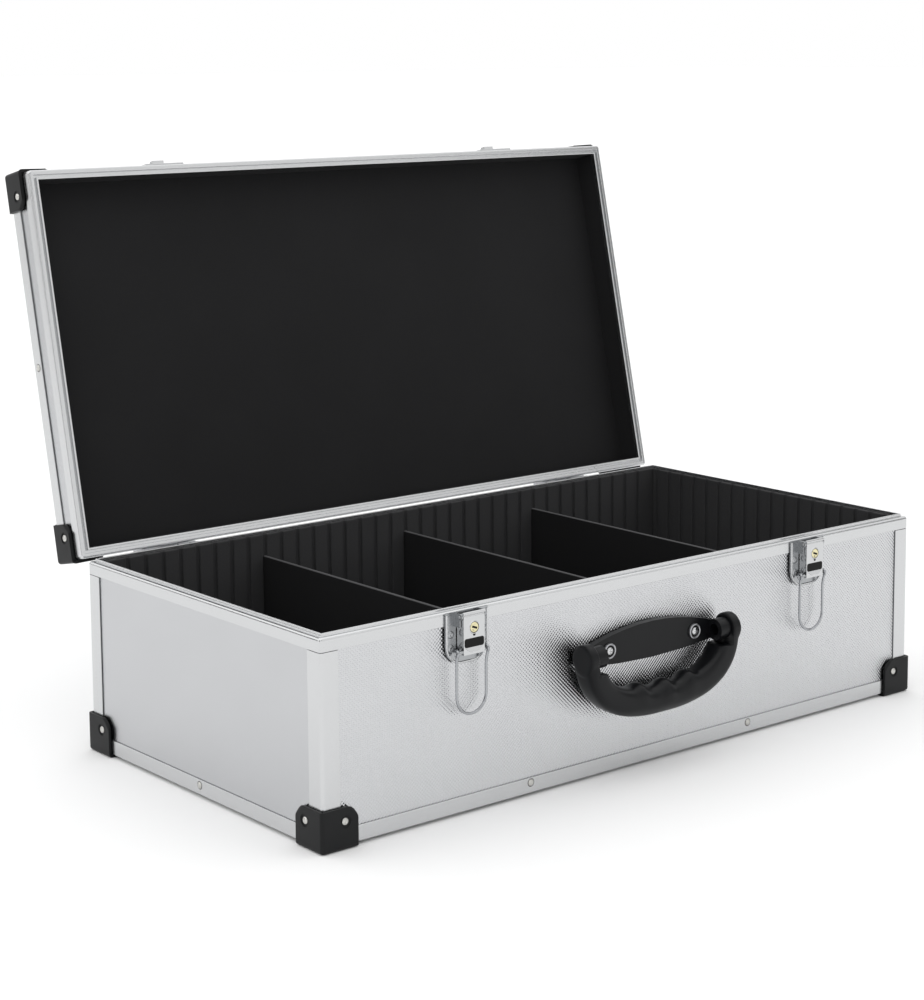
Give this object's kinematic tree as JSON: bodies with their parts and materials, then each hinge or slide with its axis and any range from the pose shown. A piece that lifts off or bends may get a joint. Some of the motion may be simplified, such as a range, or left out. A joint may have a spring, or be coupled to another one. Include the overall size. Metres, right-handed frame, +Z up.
{
  "type": "attache case",
  "caption": "Open aluminium-framed attache case with a hinged lid, lockable draw latches, a swinging carrying handle and lift-out dividers in a ribbed lining.",
  "frame": {"origin": "middle of the bottom panel's flat underside; the four corner protectors stand the case up a little lower", "axes": "+X to the right along the front wall, +Y to the back wall with the hinges, +Z up out of the open base"},
  "size_m": [0.5546, 0.4011, 0.4096],
  "materials": {
    "embossed_aluminium_panel": "fibreboard faced with satin aluminium sheet, embossed with a fine diamond pattern",
    "anodised_aluminium_extrusion": "satin anodised",
    "moulded_black_plastic": "moulded, finely grained",
    "ribbed_black_lining": "ribbed foam with a short nap",
    "black_lid_lining": "short-napped felt",
    "black_divider_board": "felt-covered board",
    "zinc_plated_steel": "plated",
    "chromed_steel": "bright",
    "brass_plug": "polished"
  },
  "bodies": {
    "base": {"base_front_panel": "embossed_aluminium_panel", "base_back_panel": "embossed_aluminium_panel", "base_left_panel": "embossed_aluminium_panel", "base_right_panel": "embossed_aluminium_panel", "base_bottom_panel": "embossed_aluminium_panel", "base_edge_profile": "anodised_aluminium_extrusion", "base_rim": "anodised_aluminium_extrusion", "corner_post_front_left": "anodised_aluminium_extrusion", "corner_post_front_right": "anodised_aluminium_extrusion", "corner_post_back_left": "anodised_aluminium_extrusion", "corner_post_back_right": "anodised_aluminium_extrusion", "base_protector_front_left": "moulded_black_plastic", "base_protector_front_right": "moulded_black_plastic", "base_protector_back_left": "moulded_black_plastic", "base_protector_back_right": "moulded_black_plastic", "lining_front": "ribbed_black_lining", "lining_back": "ribbed_black_lining", "lining_left": "ribbed_black_lining", "lining_right": "ribbed_black_lining", "lining_floor": "ribbed_black_lining", "hinge_base_leaf_left": "zinc_plated_steel", "hinge_base_leaf_right": "zinc_plated_steel", "hinge_pin_left": "zinc_plated_steel", "hinge_pin_right": "zinc_plated_steel", "latch_plate_left": "chromed_steel", "latch_plate_right": "chromed_steel", "latch_pin_left": "chromed_steel", "latch_pin_right": "chromed_steel", "handle_plate": "moulded_black_plastic", "handle_screw_left": "chromed_steel", "handle_screw_right": "chromed_steel"},
    "lid": {"lid_top_panel": "embossed_aluminium_panel", "lid_front_panel": "embossed_aluminium_panel", "lid_back_panel": "embossed_aluminium_panel", "lid_left_panel": "embossed_aluminium_panel", "lid_right_panel": "embossed_aluminium_panel", "lid_rim": "anodised_aluminium_extrusion", "lid_edge_profile": "anodised_aluminium_extrusion", "lid_protector_front_left": "moulded_black_plastic", "lid_protector_front_right": "moulded_black_plastic", "lid_protector_back_left": "moulded_black_plastic", "lid_protector_back_right": "moulded_black_plastic", "lid_lining_pad": "black_lid_lining", "lid_lining_walls": "black_lid_lining", "hinge_lid_leaf_left": "zinc_plated_steel", "hinge_lid_leaf_right": "zinc_plated_steel", "lid_catch_left": "chromed_steel", "lid_catch_right": "chromed_steel"},
    "grip": {"handle_grip": "moulded_black_plastic"},
    "latch_lever_left": {"latch_lever_left": "chromed_steel"},
    "lock_plug_left": {"lock_plug_left": "brass_plug"},
    "latch_bail_left": {"latch_bail_left": "chromed_steel"},
    "latch_lever_right": {"latch_lever_right": "chromed_steel"},
    "lock_plug_right": {"lock_plug_right": "brass_plug"},
    "latch_bail_right": {"latch_bail_right": "chromed_steel"},
    "divider_left": {"divider_left": "black_divider_board"},
    "divider_middle": {"divider_middle": "black_divider_board"},
    "divider_right": {"divider_right": "black_divider_board"}
  },
  "joints": [
    {"name": "lid_hinge", "type": "hinge", "parent": "base", "child": "lid", "pos_m": [0, 0.14285, 0.1303], "axis": [-1, 0, 0], "range_deg": [-102.5, 0]},
    {"name": "grip_swing", "type": "hinge", "parent": "base", "child": "grip", "pos_m": [0, -0.151, 0.0854], "axis": [-1, 0, 0], "range_deg": [0, 100]},
    {"name": "lever_swing_left", "type": "hinge", "parent": "base", "child": "latch_lever_left", "pos_m": [-0.1605, -0.1454, 0.1306], "axis": [-1, 0, 0], "range_deg": [0, 110]},
    {"name": "lock_turn_left", "type": "hinge", "parent": "latch_lever_left", "child": "lock_plug_left", "pos_m": [-0.1605, -0.1477, 0.1231], "axis": [0, -1, 0], "range_deg": [0, 90]},
    {"name": "bail_swing_left", "type": "hinge", "parent": "latch_lever_left", "child": "latch_bail_left", "pos_m": [-0.1605, -0.1446, 0.1069], "axis": [1, 0, 0], "range_deg": [-184.55, 0]},
    {"name": "lever_swing_right", "type": "hinge", "parent": "base", "child": "latch_lever_right", "pos_m": [0.1605, -0.1454, 0.1306], "axis": [-1, 0, 0], "range_deg": [0, 110]},
    {"name": "lock_turn_right", "type": "hinge", "parent": "latch_lever_right", "child": "lock_plug_right", "pos_m": [0.1605, -0.1477, 0.1231], "axis": [0, -1, 0], "range_deg": [0, 90]},
    {"name": "bail_swing_right", "type": "hinge", "parent": "latch_lever_right", "child": "latch_bail_right", "pos_m": [0.1605, -0.1446, 0.1069], "axis": [1, 0, 0], "range_deg": [-184.55, 0]},
    {"name": "divider_lift_left", "type": "slide", "parent": "base", "child": "divider_left", "axis": [0, 0, 1], "range_m": [0, 0.13]},
    {"name": "divider_lift_middle", "type": "slide", "parent": "base", "child": "divider_middle", "axis": [0, 0, 1], "range_m": [0, 0.13]},
    {"name": "divider_lift_right", "type": "slide", "parent": "base", "child": "divider_right", "axis": [0, 0, 1], "range_m": [0, 0.13]}
  ]
}
